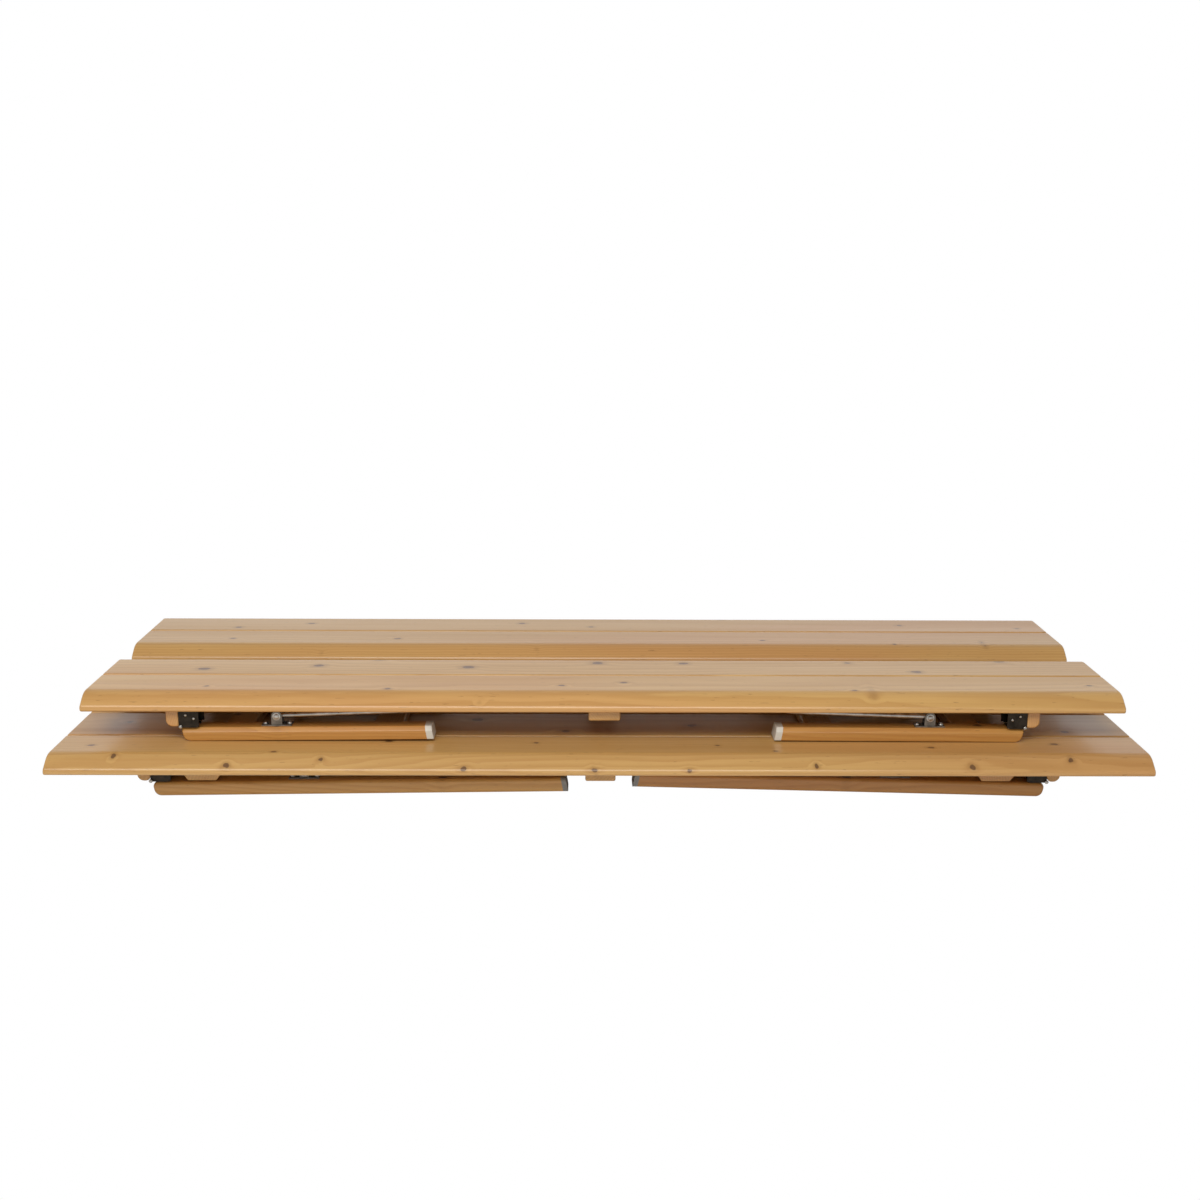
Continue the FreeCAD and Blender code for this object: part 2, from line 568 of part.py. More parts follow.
def hinge_set(label, unit, kind):
    """Four brackets with pins, one at each stile of both leg frames."""
    pieces = []
    for side in SIDES:
        sign = "-" if side == "left" else ""
        for row, y_sign in (("front", "-"), ("back", "")):
            y = f"{y_sign}({cell(kind + '_frame_half')} - {cell(kind + '_stile_width')} / 2)"
            pieces += hinge_bracket(f"{label}_{side}_{row}", kind, f"{sign}{cell(kind + '_hinge_x')}", y,
                                    side == "right")
    keep(group(label, pieces), label, under_place(unit, kind))


def catch_set(label, unit, kind):
    pieces = []
    for side in SIDES:
        sign = "-" if side == "left" else ""
        for row, y_sign in (("front", "-"), ("back", "")):
            x = f"{sign}({cell(kind + '_hinge_x')} - {cell(kind + '_catch_x')})"
            pieces.append(catch(f"{label}_{side}_{row}", x, f"{y_sign}{cell(kind + '_catch_y')}", side == "right"))
    keep(group(label, pieces), label, under_place(unit, kind))


def stile(name, kind, row):
    """One leg post; row is -1 for the front and 1 for the back, in the leg frame."""
    wood_end = f"{cell('leg_start')} + {cell(kind + '_leg_length')} - {cell(kind + '_foot')}"
    post = slanted(name, kind, cell("leg_start"), wood_end, True)
    return post, at(y=f"{row} * ({cell(kind + '_frame_half')} - {cell(kind + '_stile_width')} / 2)")


def foot(name, kind, row):
    """Plastic glide on the end of a post."""
    wood_end = f"{cell('leg_start')} + {cell(kind + '_leg_length')} - {cell(kind + '_foot')}"
    glide = slanted(name, kind, wood_end, f"{wood_end} + {cell(kind + '_foot')}")
    return place(glide, at(y=f"{row} * ({cell(kind + '_frame_half')} - {cell(kind + '_stile_width')} / 2)"))


def rail(name, kind, which):
    """Cross rail between the posts, set in from both leg faces."""
    length = f"2 * ({cell(kind + '_frame_half')} - {cell(kind + '_stile_width')})"
    edge = cell("rail_round")
    piece = moulding(name, "XZ_Plane", cell(f"{kind}_rail_width"), cell("rail_thickness"), [edge] * 4, length)
    return place(piece, at(cell(f"{kind}_{which}_rail"), "0", f"-{cell('face_drop')} - {cell('rail_inset')}"))


def leg_frame(unit, kind, side, separate_stiles):
    """Posts, rails, feet, hardware and stay of one folded leg frame."""
    prefix = f"{unit}_{side}"
    where = leg_place(unit, kind, side)
    front_row = -1 if side == "left" else 1
    posts = {"front": stile(f"{prefix}_stile_front", kind, front_row),
             "back": stile(f"{prefix}_stile_back", kind, -front_row)}
    if separate_stiles:
        for row, (post, offset) in posts.items():
            keep(post, f"{prefix}_stile_{row}", *where, offset)
    else:
        for post, offset in posts.values():
            place(post, offset)
        keep(group(f"{prefix}_stiles", [post for post, offset in posts.values()]), f"{prefix}_stiles", *where)
    rails = [rail(f"{prefix}_{which}_rail", kind, which) for which in ("upper", "lower")]
    keep(group(f"{prefix}_rails", rails), f"{prefix}_rails", *where)
    feet = [foot(f"{prefix}_foot_{tag}", kind, row) for tag, row in (("a", -1), ("b", 1))]
    keep(group(f"{prefix}_feet", feet), f"{prefix}_feet", *where)
    keep(leg_hardware(f"{prefix}_hardware", kind), f"{prefix}_hardware", *where)
    pivot = at(cell(f"{kind}_stay_pivot"), "0", f"{cell(kind + '_stay_height')} - {cell('face_drop')}",
               f"rotationy(-{cell(kind + '_stay_lift')})")
    keep(stay(f"{prefix}_stay", kind), f"{prefix}_stay", *where, pivot)


# table
boards("table", "table", TABLE_BOARDS, [f"table_board_{n}" for n in range(1, TABLE_BOARDS + 1)])
for side in SIDES:
    piece, offset = end_batten(f"table_end_batten_{side}", "table", side)
    keep(piece, f"table_end_batten_{side}", under_place("table", "table"), offset)
    sign = -1 if side == "left" else 1
    keep(bevelled_batten(f"table_inner_batten_{side}"), f"table_inner_batten_{side}",
         under_place("table", "table"), at(f"{sign} * {cell('table_inner_batten_x')}"))
keep(centre_batten("table_centre_batten", "table"), "table_centre_batten", under_place("table", "table"))
hinge_set("table_hinge_brackets", "table", "table")
catch_set("table_stay_catches", "table", "table")
end_x = f"({cell('table_batten_face')} + {cell('table_batten_width')} / 2)"
top_screws("table_top_screws", "table", "table", [
    (f"-{end_x}", cell("table_hinge_drop"), (-258, -183, -61, 61, 183, 258)),
    (end_x, cell("table_hinge_drop"), (-258, -183, -61, 61, 183, 258)),
    (f"-{cell('table_inner_batten_x')}", cell("table_inner_batten_depth"), (-285, -183, -61, 61, 183, 285)),
    (cell("table_inner_batten_x"), cell("table_inner_batten_depth"), (-285, -183, -61, 61, 183, 285)),
    ("0", cell("table_centre_batten_depth"), (-285, -183, -61, 61, 183, 285)),
])
for side in SIDES:
    leg_frame("table", "table", side, True)

# benches
for bench in BENCHES:
    boards(bench, "bench", BENCH_BOARDS, [f"{bench}_board_front", f"{bench}_board_back"])
    ends = []
    for side in SIDES:
        piece, offset = end_batten(f"{bench}_end_batten_{side}", "bench", side)
        ends.append(place(piece, offset))
    keep(group(f"{bench}_end_battens", ends), f"{bench}_end_battens", under_place(bench, "bench"))
    keep(centre_batten(f"{bench}_centre_batten", "bench"), f"{bench}_centre_batten", under_place(bench, "bench"))
    hinge_set(f"{bench}_hinge_brackets", bench, "bench")
    catch_set(f"{bench}_stay_catches", bench, "bench")
    end_x = f"({cell('bench_batten_face')} + {cell('bench_batten_width')} / 2)"
    top_screws(f"{bench}_screws", bench, "bench", [
        (f"-{end_x}", cell("bench_hinge_drop"), (-40, 40)),
        (end_x, cell("bench_hinge_drop"), (-40, 40)),
        ("0", cell("bench_centre_batten_depth"), (-78, -40, 40, 78)),
    ])
    for side in SIDES:
        leg_frame(bench, "bench", side, False)

# ---------------------------------------------------------------- checks and export
doc.recompute()
for item in doc.Objects:
    if {"Invalid", "Error"} & set(item.State):
        raise RuntimeError(f"{item.Label} failed: {item.State}")
for node in nodes:
    if node.Shape.isNull() or not node.Shape.isValid():
        raise RuntimeError(f"{node.Label} has no valid shape")
for node in nodes:
    node.Shape.exportStep(f"parts/{node.Label}.step")
low = min(node.Shape.BoundBox.ZMin for node in nodes)
high = max(node.Shape.BoundBox.ZMax for node in nodes)
print(f"{len(nodes)} nodes, {sum(len(node.Shape.Solids) for node in nodes)} solids, z {low:.3f} to {high:.3f}")
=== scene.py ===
"""Looks of the folding picnic set: honey-lacquered knotty pine, galvanised stays and dark hinges."""
import json
import math
import random

import bmesh
import bpy
from mathutils import Matrix, Vector


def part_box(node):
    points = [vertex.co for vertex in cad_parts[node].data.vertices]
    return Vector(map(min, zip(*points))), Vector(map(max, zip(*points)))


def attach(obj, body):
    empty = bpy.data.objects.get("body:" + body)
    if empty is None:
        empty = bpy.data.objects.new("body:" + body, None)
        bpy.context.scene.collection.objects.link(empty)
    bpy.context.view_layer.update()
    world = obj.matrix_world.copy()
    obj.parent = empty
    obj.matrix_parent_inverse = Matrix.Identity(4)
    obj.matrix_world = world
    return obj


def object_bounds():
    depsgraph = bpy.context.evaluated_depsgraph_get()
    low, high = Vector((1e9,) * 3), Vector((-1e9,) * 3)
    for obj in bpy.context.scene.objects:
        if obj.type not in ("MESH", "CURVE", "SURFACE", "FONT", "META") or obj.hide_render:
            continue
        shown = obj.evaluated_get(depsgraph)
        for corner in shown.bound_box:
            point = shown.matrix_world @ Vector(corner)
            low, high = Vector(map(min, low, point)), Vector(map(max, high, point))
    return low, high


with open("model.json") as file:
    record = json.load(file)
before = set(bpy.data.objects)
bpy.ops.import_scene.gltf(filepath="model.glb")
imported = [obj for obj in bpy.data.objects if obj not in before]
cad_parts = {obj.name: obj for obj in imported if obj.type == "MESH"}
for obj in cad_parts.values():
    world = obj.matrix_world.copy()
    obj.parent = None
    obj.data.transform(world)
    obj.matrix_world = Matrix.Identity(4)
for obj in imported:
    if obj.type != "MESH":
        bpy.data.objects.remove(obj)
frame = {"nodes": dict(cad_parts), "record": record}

CAD_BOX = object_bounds()
NODES = frame["nodes"]

# ---------------------------------------------------------------- camera and light
FOCAL = 44.0                                  # mm, on a 36 mm wide sensor
CAMERA_AT = Vector((-0.034, -2.601, 0.887))
ZENITH, FRONT = 0.30, 0.45                    # studio brightness overhead and in front, 1 at the back
PAN, TILT, ROLL = -0.75, -13.55, 0.34         # degrees, to the left, upward, anticlockwise


def add_camera():
    data = bpy.data.cameras.new("camera")
    data.lens = FOCAL
    data.sensor_width = 36
    data.clip_start = 0.01
    camera = bpy.data.objects.new("camera", data)
    turn = (Matrix.Rotation(math.radians(PAN), 4, "Z") @ Matrix.Rotation(math.radians(90 + TILT), 4, "X")
            @ Matrix.Rotation(math.radians(ROLL), 4, "Z"))
    camera.matrix_world = Matrix.Translation(CAMERA_AT) @ turn
    bpy.context.collection.objects.link(camera)
    bpy.context.scene.camera = camera


def add_light(name, where, target, size, power, colour=(1, 1, 1)):
    data = bpy.data.lights.new(name, "AREA")
    data.shape = "RECTANGLE"
    data.size, data.size_y = size
    data.energy = power
    data.color = colour
    light = bpy.data.objects.new(name, data)
    light.location = where
    light.rotation_euler = (Vector(target) - Vector(where)).to_track_quat("-Z", "Y").to_euler()
    bpy.context.collection.objects.link(light)


def add_world():
    """White backdrop; as a light it is bright at the back horizon, dimmer overhead and in front."""
    world = bpy.data.worlds.new("studio")
    bpy.context.scene.world = world
    world.use_nodes = True
    tree = world.node_tree
    back = tree.nodes["Background"]
    back.inputs["Color"].default_value = (1, 1, 1, 1)
    parts = tree.nodes.new("ShaderNodeSeparateXYZ")
    tree.links.new(tree.nodes.new("ShaderNodeTexCoord").outputs["Generated"], parts.inputs[0])

    def fade(source, low, high, first, last):
        node = tree.nodes.new("ShaderNodeMapRange")
        for socket, number in (("From Min", low), ("From Max", high), ("To Min", first), ("To Max", last)):
            node.inputs[socket].default_value = number
        tree.links.new(source, node.inputs["Value"])
        return node.outputs["Result"]

    overhead = fade(parts.outputs[2], 0.22, 0.60, 1.0, ZENITH)
    front = fade(parts.outputs[1], -0.5, 0.3, FRONT, 1.0)
    lit = tree.nodes.new("ShaderNodeMath")
    lit.operation = "MULTIPLY"
    tree.links.new(overhead, lit.inputs[0])
    tree.links.new(front, lit.inputs[1])
    seen = tree.nodes.new("ShaderNodeMath")
    seen.operation = "MAXIMUM"
    tree.links.new(lit.outputs[0], seen.inputs[0])
    tree.links.new(tree.nodes.new("ShaderNodeLightPath").outputs["Is Camera Ray"], seen.inputs[1])
    tree.links.new(seen.outputs[0], back.inputs["Strength"])


def add_floor():
    mesh = bpy.data.meshes.new("floor")
    reach = 30
    mesh.from_pydata([(-reach, -reach, 0), (reach, -reach, 0), (reach, reach, 0), (-reach, reach, 0)], [],
                     [(0, 1, 2, 3)])
    floor = bpy.data.objects.new("floor", mesh)
    floor.location.z = CAD_BOX[0][2] - 0.0002
    bpy.context.collection.objects.link(floor)
    material = bpy.data.materials.new("pale_floor")
    material.use_nodes = True
    shader = material.node_tree.nodes["Principled BSDF"]
    shader.inputs["Base Color"].default_value = (0.95, 0.95, 0.95, 1)
    shader.inputs["Roughness"].default_value = 0.8
    mesh.materials.append(material)
    floor.visible_camera = False     # the ground stays plain white, and opened table legs show below it


# ---------------------------------------------------------------- materials
class Shader:
    """Small helper round one material's node tree."""

    def __init__(self, name):
        self.material = bpy.data.materials.new(name)
        self.material.use_nodes = True
        self.tree = self.material.node_tree
        self.surface = self.tree.nodes["Principled BSDF"]

    def add(self, kind, **settings):
        node = self.tree.nodes.new(kind)
        for key, value in settings.items():
            setattr(node, key, value)
        return node

    def feed(self, socket, value):
        """Link an output to a socket, or set the socket's own value."""
        if isinstance(value, bpy.types.NodeSocket):
            self.tree.links.new(value, socket)
        else:
            socket.default_value = value

    def math(self, operation, *values):
        node = self.add("ShaderNodeMath", operation=operation)
        for socket, value in zip(node.inputs, values):
            self.feed(socket, value)
        return node.outputs[0]

    def vector(self, operation, *values):
        node = self.add("ShaderNodeVectorMath", operation=operation)
        for socket, value in zip(node.inputs, values):
            self.feed(socket, value)
        return node.outputs["Value"] if operation in ("DISTANCE", "LENGTH") else node.outputs[0]

    def noise(self, vector, scale, detail=3.0, rough=0.55, distortion=0.0):
        node = self.add("ShaderNodeTexNoise")
        self.feed(node.inputs["Vector"], vector)
        node.inputs["Scale"].default_value = scale
        node.inputs["Detail"].default_value = detail
        node.inputs["Roughness"].default_value = rough
        node.inputs["Distortion"].default_value = distortion
        return node.outputs["Fac"]

    def remap(self, value, low, high, to_low=0.0, to_high=1.0, smooth=False):
        node = self.add("ShaderNodeMapRange")
        if smooth:
            node.interpolation_type = "SMOOTHSTEP"
        self.feed(node.inputs["Value"], value)
        for socket, number in zip(("From Min", "From Max", "To Min", "To Max"), (low, high, to_low, to_high)):
            node.inputs[socket].default_value = number
        return node.outputs["Result"]

    def mix(self, factor, first, second, blend="MIX"):
        node = self.add("ShaderNodeMix", data_type="RGBA", blend_type=blend)
        self.feed(node.inputs[0], factor)
        self.feed(node.inputs[6], first)
        self.feed(node.inputs[7], second)
        return node.outputs[2]

    def bump(self, height, strength, distance, normal=None):
        node = self.add("ShaderNodeBump")
        node.inputs["Strength"].default_value = strength
        node.inputs["Distance"].default_value = distance
        self.feed(node.inputs["Height"], height)
        if normal is not None:
            self.feed(node.inputs["Normal"], normal)
        return node.outputs["Normal"]

    def finish(self, **sockets):
        for name, value in sockets.items():
            self.feed(self.surface.inputs[name.replace("_", " ")], value)
        return self.material


PALE = (0.620, 0.368, 0.124)                   # early wood under honey lacquer
LATE = (0.430, 0.200, 0.050)                   # late-wood lines
KNOT = (0.150, 0.062, 0.020)
KNOT_RIM = (0.055, 0.022, 0.009)


def tinted(colour, factors=(1, 1, 1)):
    return tuple(channel * factor for channel, factor in zip(colour, factors)) + (1,)


def knot_field(s, place, knots):
    """Distance to the nearest knot, in knot radii.

    knots are (x, y, z, radius, axis); a knot is drawn out along the branch axis it follows.
    """
    waver = s.add("ShaderNodeTexNoise")
    s.feed(waver.inputs["Vector"], place)
    waver.inputs["Scale"].default_value = 75.0
    waver.inputs["Detail"].default_value = 2.0
    offset = s.vector("SCALE", s.vector("SUBTRACT", waver.outputs["Color"], (0.5, 0.5, 0.5)))
    offset.node.inputs["Scale"].default_value = 0.007
    wavered = s.vector("ADD", place, offset)
    nearest = 9.0
    for x, y, z, radius, axis in knots:
        squeeze = {"Y": (0.8, 0.25, 1.3), "Z": (0.7, 1.0, 0.25)}[axis]
        gap = s.vector("LENGTH", s.vector("MULTIPLY", s.vector("SUBTRACT", wavered, (x, y, z)), squeeze))
        nearest = s.math("MINIMUM", s.math("DIVIDE", gap, radius), nearest)
    return nearest


def pine(name, seed, along="X", knots=(), tone=(1, 1, 1), contrast=1.0, gloss=0.30):
    """Lacquered knotty pine with the grain along one axis of the object's own space."""
    rng = random.Random(seed)
    s = Shader(name)
    place = s.add("ShaderNodeTexCoord").outputs["Object"]
    grain_space = place
    if along == "Y":
        turned = s.add("ShaderNodeMapping")
        turned.inputs["Rotation"].default_value = (0, 0, math.radians(90))
        s.feed(turned.inputs["Vector"], place)
        grain_space = turned.outputs["Vector"]
    nearest = knot_field(s, place, knots) if knots else None
    # growth rings round a pith that lies below the board and drifts along it
    stretched = s.vector("MULTIPLY", grain_space, (0.16, 1.0, 1.0))
    shifted = s.vector("ADD", stretched, tuple(rng.uniform(-5, 5) for _ in range(3)))
    drift = s.noise(shifted, 3.0, 2.0, 0.5)
    ripple = s.noise(shifted, 26.0, 3.0, 0.5)
    parts = s.add("ShaderNodeSeparateXYZ")
    s.feed(parts.inputs[0], grain_space)
    pith = rng.uniform(0.05, 0.12)
    lateral = s.math("ADD", parts.outputs[1], s.math("MULTIPLY", drift, 0.14))
    lateral = s.math("ADD", lateral, rng.uniform(-0.2, 0.2))
    depth = s.math("ADD", parts.outputs[2], pith)
    lateral_squared = s.math("MULTIPLY", lateral, lateral)
    depth_squared = s.math("MULTIPLY", depth, depth)
    radial = s.math("SQRT", s.math("ADD", lateral_squared, depth_squared))
    radial = s.math("ADD", radial, s.math("MULTIPLY", ripple, 0.007))
    if knots:
        pull = s.remap(nearest, 0.6, 4.5, 1.0, 0.0, True)
        radial = s.math("ADD", radial, s.math("MULTIPLY", pull, 0.0032))
    ring = s.math("FRACT", s.math("MULTIPLY", radial, rng.uniform(190, 240)))
    late = s.math("MULTIPLY", s.remap(ring, 0.20, 0.86, 0, 1, True), s.remap(ring, 0.90, 1.0, 1, 0, True))
    # fine fibres, broad streaks, reddish heartwood patches and small resin specks
    fibre_space = s.vector("ADD", s.vector("MULTIPLY", grain_space, (6.0, 300.0, 300.0)),
                           tuple(rng.uniform(-9, 9) for _ in range(3)))
    fibre = s.noise(fibre_space, 1.0, 3.0, 0.6)
    streak = s.noise(s.vector("MULTIPLY", shifted, (1.0, 3.0, 3.0)), 7.0, 3.0, 0.55)
    heart = s.noise(s.vector("MULTIPLY", shifted, (1.5, 1.4, 1.4)), 3.4, 2.0, 0.5)
    speck_space = s.vector("MULTIPLY", grain_space, (55.0, 420.0, 420.0))
    speck = s.noise(speck_space, 1.0, 1.0, 0.5)
    pale, dark = tinted(PALE, tone), tinted(LATE, tone)
    red = tinted((0.590, 0.275, 0.100), tone)
    colour = s.mix(s.remap(heart, 0.46, 0.66, 0.0, 0.55 * contrast, True), pale, red)
    colour = s.mix(s.math("MULTIPLY", late, 0.36 * contrast), colour, dark)
    colour = s.mix(s.remap(streak, 0.38, 0.78, 0.0, 0.38 * contrast), colour, dark)
    colour = s.mix(s.remap(fibre, 0.45, 0.8, 0.0, 0.26), colour, dark)
    colour = s.mix(s.remap(speck, 0.71, 0.76, 0.0, 0.45), colour, tinted(LATE, (0.45, 0.45, 0.45)))
    relief = s.math("ADD", s.math("MULTIPLY", late, 0.5), s.math("MULTIPLY", fibre, 0.5))
    if knots:
        halo = s.remap(nearest, 0.9, 2.4, 0.36, 0.0, True)
        colour = s.mix(halo, colour, tinted(LATE, (0.62, 0.62, 0.62)))
        core = s.remap(nearest, 0.78, 1.12, 0.82, 0.0, True)
        rings = s.math("FRACT", s.math("MULTIPLY", nearest, 3.3))
        knot_colour = s.mix(s.remap(rings, 0.2, 0.9), tinted(KNOT), tinted(KNOT_RIM))
        colour = s.mix(core, colour, knot_colour)
        relief = s.math("SUBTRACT", relief, s.math("MULTIPLY", core, 0.6))
    normal = s.bump(relief, 0.16, 0.0007)
    rough = s.remap(streak, 0.3, 0.8, gloss, gloss + 0.12)
    return s.finish(Base_Color=colour, Roughness=rough, Normal=normal, Coat_Weight=0.30, Coat_Roughness=0.18)


def metal(name, base, rough_low, rough_high, mottle, scale, seed):
    """Sheet steel or wire with a mottled surface and small scratches."""
    rng = random.Random(seed)
    s = Shader(name)
    shift = tuple(rng.uniform(-3, 3) for _ in range(3))
    place = s.vector("ADD", s.add("ShaderNodeTexCoord").outputs["Object"], shift)
    patch = s.noise(place, scale, 4.0, 0.6)
    fine = s.noise(place, scale * 9, 2.0, 0.6)
    dark = tuple(c * (1 - mottle) for c in base) + (1,)
    colour = s.mix(s.remap(patch, 0.35, 0.65), dark, tuple(base) + (1,))
    colour = s.mix(s.remap(fine, 0.62, 0.78, 0, 0.35), colour, tuple(c * 0.35 for c in base) + (1,))
    normal = s.bump(fine, 0.15, 0.0004)
    return s.finish(Base_Color=colour, Roughness=s.remap(patch, 0.3, 0.7, rough_low, rough_high),
                    Normal=normal, Metallic=1.0)


def plastic(name, base, seed):
    rng = random.Random(seed)
    s = Shader(name)
    shift = tuple(rng.uniform(-3, 3) for _ in range(3))
    place = s.vector("ADD", s.add("ShaderNodeTexCoord").outputs["Object"], shift)
    patch = s.noise(place, 45.0, 3.0)
    grain = s.noise(place, 900.0, 2.0)
    colour = s.mix(s.remap(patch, 0.4, 0.7, 0, 0.4), tuple(base) + (1,), tuple(c * 0.72 for c in base) + (1,))
    return s.finish(Base_Color=colour, Roughness=s.remap(patch, 0.3, 0.7, 0.42, 0.58),
                    Normal=s.bump(grain, 0.2, 0.0003))


def assign(node, material):
    mesh = NODES[node].data
    mesh.materials.clear()
    mesh.materials.append(material)


# ---------------------------------------------------------------- knots, in metres
NOSE_FOOT, NOSE_RISE, NOSE_DEPTH = 0.009, 0.019, 0.022       # the sloped part of a plank's broad nose
FAINT = 0.021                                               # how deep a knot lies that barely shows
# how many knots the front edge and the top face of the planks in front have
FRONT_KNOTS = {"table_board_1": (9, 8), "bench_front_board_front": (2, 6), "bench_back_board_front": (3, 4)}
# tints of the pine for some timbers; the darker, redder tint of the bench stiles is partly a richer wood
# colour and partly painted shade for the shade on their downward-facing faces
TINT_AND_PAINTED_SHADE = {"table_right_stile": (0.92, 0.80, 0.66), "table_left_stile": (1.04, 0.99, 0.90),
          "stiles": (0.84, 0.70, 0.48), "centre_batten": (1.08, 1.08, 1.12)}


def spread(rng, low, high, count):
    """One place at random in each of so many equal stretches."""
    return [low + (high - low) * (index + rng.uniform(0.1, 0.9)) / count for index in range(count)]


def knots_of(node, rng):
    """Knots strewn along a timber, at random places of the builder's own choosing."""
    low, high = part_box(node)
    edge_count, top_count = FRONT_KNOTS.get(node, (0, 0))
    sunk = 0.0 if node.startswith("table") else FAINT
    knots = []
    for x in spread(rng, low[0], high[0], edge_count):
        up = rng.uniform(0.009, 0.026)
        slope = min(1.0, (up - NOSE_FOOT) / NOSE_RISE)
        front = low[1] + 0.002 + NOSE_DEPTH * slope + sunk
        knots.append((x, front, low[2] + up, rng.uniform(0.0028, 0.0048), "Y"))
    for x in spread(rng, low[0], high[0], top_count):
        y = rng.uniform(low[1] + 0.028, high[1] - 0.012)
        knots.append((x, y, high[2] - 0.001, rng.uniform(0.0028, 0.0045), "Z"))
    if "board" in node and not top_count:
        for x in spread(rng, low[0], high[0], 9):
            y = rng.uniform(low[1] + 0.02, high[1] - 0.02)
            knots.append((x, y, (low[2] + high[2]) / 2, rng.uniform(0.0045, 0.0085), "Z"))
    elif not knots:
        along = 0 if high[0] - low[0] > high[1] - low[1] else 1
        for place in spread(rng, low[along], high[along], 3):
            where = [rng.uniform(low[axis] + 0.004, high[axis] - 0.004) for axis in range(2)]
            where[along] = place
            knots.append((where[0], where[1], (low[2] + high[2]) / 2, rng.uniform(0.004, 0.007), "Z"))
    return knots


# ---------------------------------------------------------------- fastener detail, mm from the hinge axis
MM = Matrix.Scale(0.001, 4)
JOINTS = {joint["name"]: joint for joint in frame["record"]["behaviour"]["joints"]}
UNITS = {"table": "table", "bench_front": "bench", "bench_back": "bench"}
REST_TILT = {"table": {"left": 0.7, "right": 1.4}, "bench": {"left": 0.5, "right": 0.3}}
STILE_Y = {"table": 293, "bench": 91}          # middle of a leg post, from the middle of its frame
STAY_PIVOT = {"table": (250, 7), "bench": (157, 13)}
CATCH = {"table": (226.6, 150, 28), "bench": (157.5, 30, 30)}   # inboard of the hinge, across, hinge drop
PAN_HEAD = [(4.6, 0), (4.6, 0.9), (4.25, 1.9), (3.6, 2.7), (2.8, 3.2)]
RIVET_HEAD = [(1.0, 0), (1.0, 0.5), (0.86, 1.1), (0.55, 1.6), (0.18, 1.8)]
WASHER = [(0.50, 0), (1.0, 0), (1.0, 0.9), (0.92, 1.1), (0.55, 1.1), (0.50, 1.0), (0.50, 0)]


LEAF_SCREWS = (18, 8)                          # along the post, and either side of its middle
PIVOT_SCREWS = 20                              # either side of a stay pivot
STAY_WASHER = (8.0, 6.6)                       # out from the middle of the post, radius
STAY_RIVET = (9.3, 4.6)
PIN_RIVET = (20.9, 3.1)
BRACKET_RIVET = (19.4, 2.2)
BRACKET_HOLES = ((9, 20), (22, 14))            # along and up from the hinge axis
CATCH_SCREWS = (25.4, 7)                       # inboard of the catch, and either side of its middle


class Hardware:
    """Gathers small turned parts into one mesh for each body they ride on."""

    def __init__(self):
        self.meshes = {}

    def lathe(self, body, profile, matrix, radius=1.0, segments=24):
        if body not in self.meshes:
            self.meshes[body] = bmesh.new()
        bm = self.meshes[body]
        turns = [2 * math.pi * step / segments for step in range(segments)]
        rings = []
        for across, up in profile:
            out = across * radius
            points = [Vector((out * math.cos(turn), out * math.sin(turn), up)) for turn in turns]
            rings.append([bm.verts.new(matrix @ point) for point in points])
        for lower, upper in zip(rings, rings[1:]):
            for step in range(segments):
                after = (step + 1) % segments
                bm.faces.new((lower[step], lower[after], upper[after], upper[step]))
        return bm, rings

    def rivet(self, body, matrix, radius):
        bm, rings = self.lathe(body, RIVET_HEAD, matrix, radius)
        bm.faces.new(rings[-1])

    def washer(self, body, matrix, radius):
        self.lathe(body, WASHER, matrix, radius)

    def pan_screw(self, body, matrix, turn):
        """Pan head with a cross recess sunk into its top."""
        bm, rings = self.lathe(body, PAN_HEAD, matrix)
        top = PAN_HEAD[-1][1]
        outline = [(2.1, -0.5), (2.1, 0.5), (0.5, 0.5), (0.5, 2.1), (-0.5, 2.1), (-0.5, 0.5),
                   (-2.1, 0.5), (-2.1, -0.5), (-0.5, -0.5), (-0.5, -2.1), (0.5, -2.1), (0.5, -0.5)]
        spin = Matrix.Rotation(turn, 4, "Z")
        rim = [bm.verts.new(matrix @ spin @ Vector((x, y, top))) for x, y in outline]
        floor = [bm.verts.new(matrix @ spin @ Vector((x * 0.72, y * 0.72, top - 0.95))) for x, y in outline]
        count = len(outline)
        for step in range(count):
            after = (step + 1) % count
            bm.faces.new((rim[step], floor[step], floor[after], rim[after]))
        bm.faces.new(floor)
        edges = [bm.edges.get((rim[step], rim[(step + 1) % count])) for step in range(count)]
        last = rings[-1]
        edges += [bm.edges.get((last[step], last[(step + 1) % len(last)])) for step in range(len(last))]
        bmesh.ops.triangle_fill(bm, edges=edges, use_beauty=True)

    def finish(self, material):
        for body, bm in self.meshes.items():
            bmesh.ops.recalc_face_normals(bm, faces=bm.faces)
            name = f"{body}_fastener_heads"
            mesh = bpy.data.meshes.new(name)
            bm.to_mesh(mesh)
            bm.free()
            mesh.shade_smooth()
            mesh.set_sharp_from_angle(angle=math.radians(40))
            mesh.materials.append(material)
            piece = bpy.data.objects.new(name, mesh)
            bpy.context.collection.objects.link(piece)
            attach(piece, body)


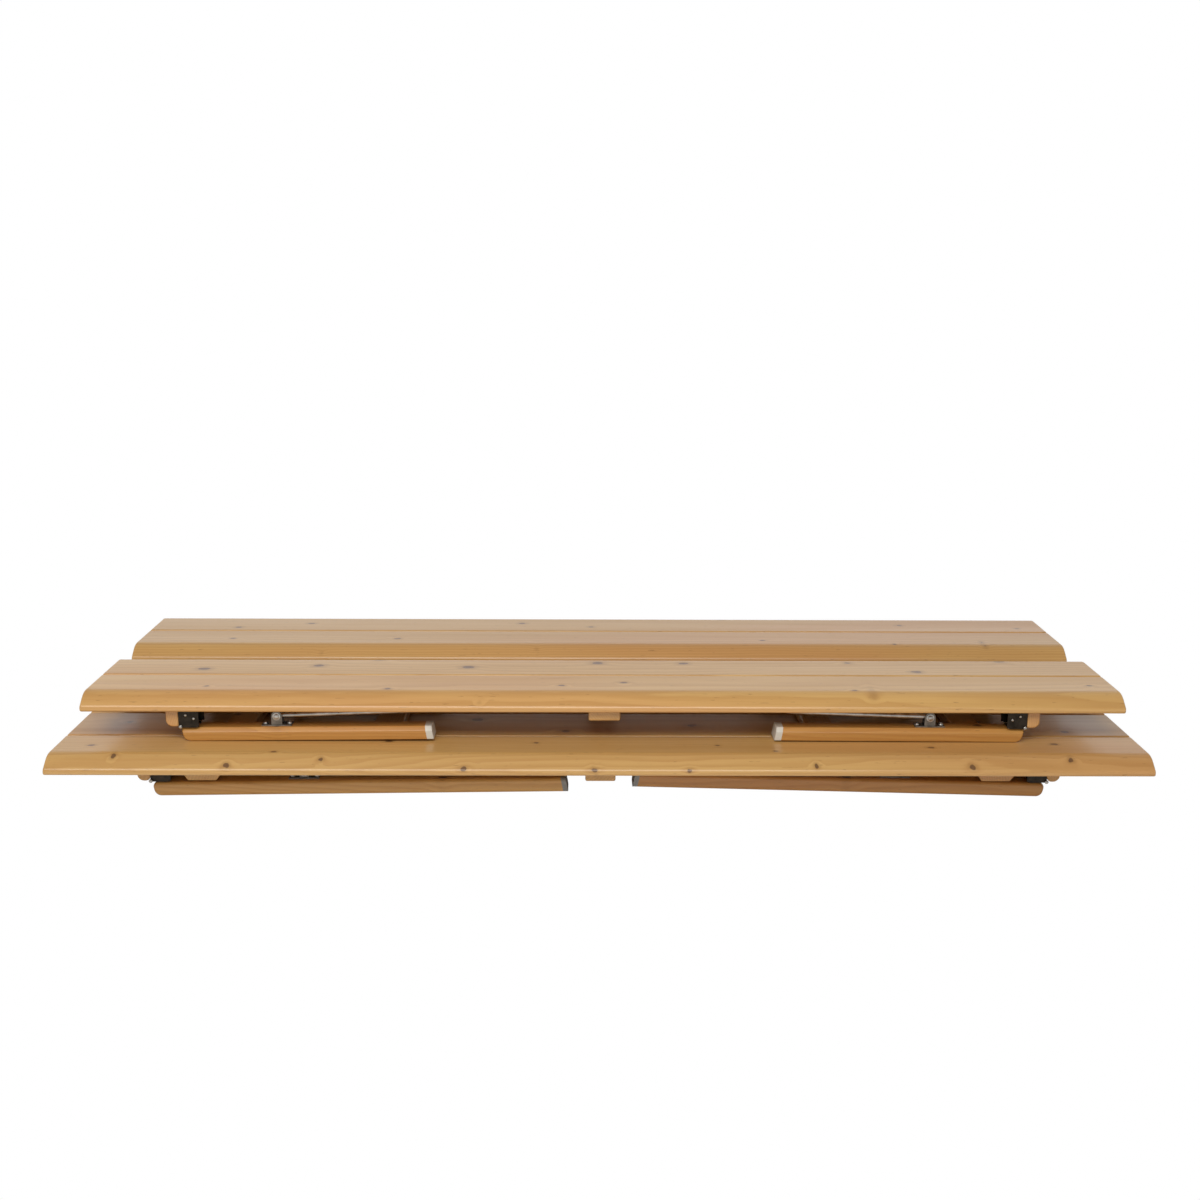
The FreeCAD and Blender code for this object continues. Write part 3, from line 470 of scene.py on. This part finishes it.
def add_fasteners(material):
    rng = random.Random(77)
    parts = Hardware()
    for unit, kind in UNITS.items():
        pivot, pivot_up = STAY_PIVOT[kind]
        catch_in, catch_y, drop = CATCH[kind]
        for side in ("left", "right"):
            top, leg = f"{unit}_top", f"{unit}_leg_{side}"
            hinge = Matrix.Translation(Vector(JOINTS[f"{leg}_hinge"]["pos_m"]))
            facing = Matrix.Rotation(math.pi if side == "right" else 0, 4, "Z")
            level = hinge @ facing @ MM
            tilted = hinge @ facing @ Matrix.Rotation(-math.radians(REST_TILT[kind][side]), 4, "Y") @ MM
            for row in (-1, 1):
                post = row * STILE_Y[kind]
                leaf_x, leaf_y = LEAF_SCREWS
                for x, y in ((leaf_x, post - leaf_y), (leaf_x, post + leaf_y),
                             (pivot - PIVOT_SCREWS, post), (pivot + PIVOT_SCREWS, post)):
                    parts.pan_screw(leg, tilted @ Matrix.Translation((x, y, -1)), rng.uniform(0, math.pi))
                for out in (-1, 1):
                    sideways = Matrix.Rotation(-out * math.pi / 2, 4, "X")

                    def facing_out(x, reach, up):
                        return Matrix.Translation((x, post + out * reach, up)) @ sideways

                    parts.washer(leg, tilted @ facing_out(pivot, STAY_WASHER[0], pivot_up), STAY_WASHER[1])
                    parts.rivet(leg, tilted @ facing_out(pivot, STAY_RIVET[0], pivot_up), STAY_RIVET[1])
                    parts.rivet(top, level @ facing_out(0, PIN_RIVET[0], 0), PIN_RIVET[1])
                    for x, up in BRACKET_HOLES:
                        parts.rivet(top, level @ facing_out(x, BRACKET_RIVET[0], up), BRACKET_RIVET[1])
                catch_back, catch_side = CATCH_SCREWS
                for y in (row * catch_y - catch_side, row * catch_y + catch_side):
                    under = Matrix.Translation((catch_in - catch_back, y, drop - 2))
                    head_down = Matrix.Rotation(math.pi, 4, "X")
                    parts.pan_screw(top, level @ under @ head_down, rng.uniform(0, math.pi))
    parts.finish(material)


def dress():
    zinc = metal("galvanised_steel", (0.66, 0.65, 0.61), 0.26, 0.42, 0.35, 60, 3)
    dull = metal("dull_fitting_steel", (0.30, 0.27, 0.23), 0.38, 0.55, 0.5, 70, 7)
    dark = metal("dark_hinge_steel", (0.060, 0.050, 0.040), 0.38, 0.58, 0.5, 90, 4)
    grey_foot = plastic("grey_foot_plastic", (0.27, 0.27, 0.26), 5)
    pale_foot = plastic("pale_foot_plastic", (0.66, 0.63, 0.55), 6)
    for index, node in enumerate(sorted(NODES)):
        rng = random.Random(500 + index)
        if node.endswith("_feet"):
            assign(node, grey_foot if node.startswith("table") else pale_foot)
        elif "hinge_brackets" in node:
            assign(node, dark)
        elif node.endswith("_hardware"):
            assign(node, dull)
        elif node.endswith(("_stay", "_screws")) or "catches" in node:
            assign(node, zinc)
        else:
            along = "Y" if ("batten" in node or "rails" in node) else "X"
            tone = rng.uniform(0.93, 1.04)
            # the timber's tint; for the bench stiles it is partly painted shade
            tint_and_shade = next((factors for part, factors in TINT_AND_PAINTED_SHADE.items() if part in node), (1, 1, 1))
            shades = tuple(tone * factor for factor in tint_and_shade)
            assign(node, pine("pine_" + node, 100 + index, along, knots_of(node, rng), shades))
    add_fasteners(zinc)


add_camera()
add_world()
add_floor()
add_light("front_softbox", (-0.5, -2.3, 2.5), (0, 0, 0.1), (3.2, 1.5), 84, (1.0, 0.985, 0.96))
dress()

bpy.context.scene.view_settings.view_transform = "Standard"
